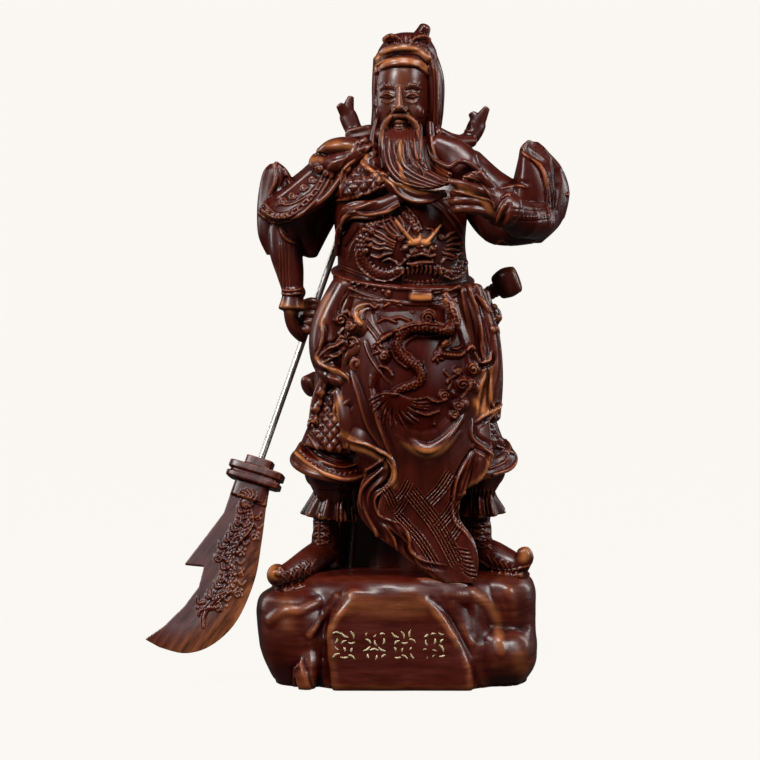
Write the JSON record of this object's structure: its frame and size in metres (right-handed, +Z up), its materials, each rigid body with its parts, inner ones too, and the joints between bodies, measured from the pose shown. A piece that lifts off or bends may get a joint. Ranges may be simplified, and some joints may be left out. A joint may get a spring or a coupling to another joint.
{
  "type": "guan yu statue",
  "caption": "Cast resin statue of a bearded general in robe and armour on a rock plinth, with a steel-shafted glaive held low at the side; stands on a shelf or altar.",
  "frame": {"origin": "middle of the flat underside of the rock plinth", "axes": "+Z up; the figure faces -Y; +X is to the viewer's right, the side of the bent left arm"},
  "size_m": [0.2114, 0.0931, 0.3267],
  "materials": {
    "wood_effect_resin": "cast resin stained and lacquered as dark polished wood, rubbed back to orange on the edges",
    "blade_resin": "cast resin stained and lacquered as polished wood with a straight grain",
    "polished_steel": "polished plated steel rod",
    "gold_paint": "old gold paint in the shallow strokes on the front of the rock"
  },
  "bodies": {
    "root": {"figure_on_rock": "wood_effect_resin", "glaive_blade": "blade_resin", "glaive_rod": "polished_steel"}
  },
  "joints": []
}
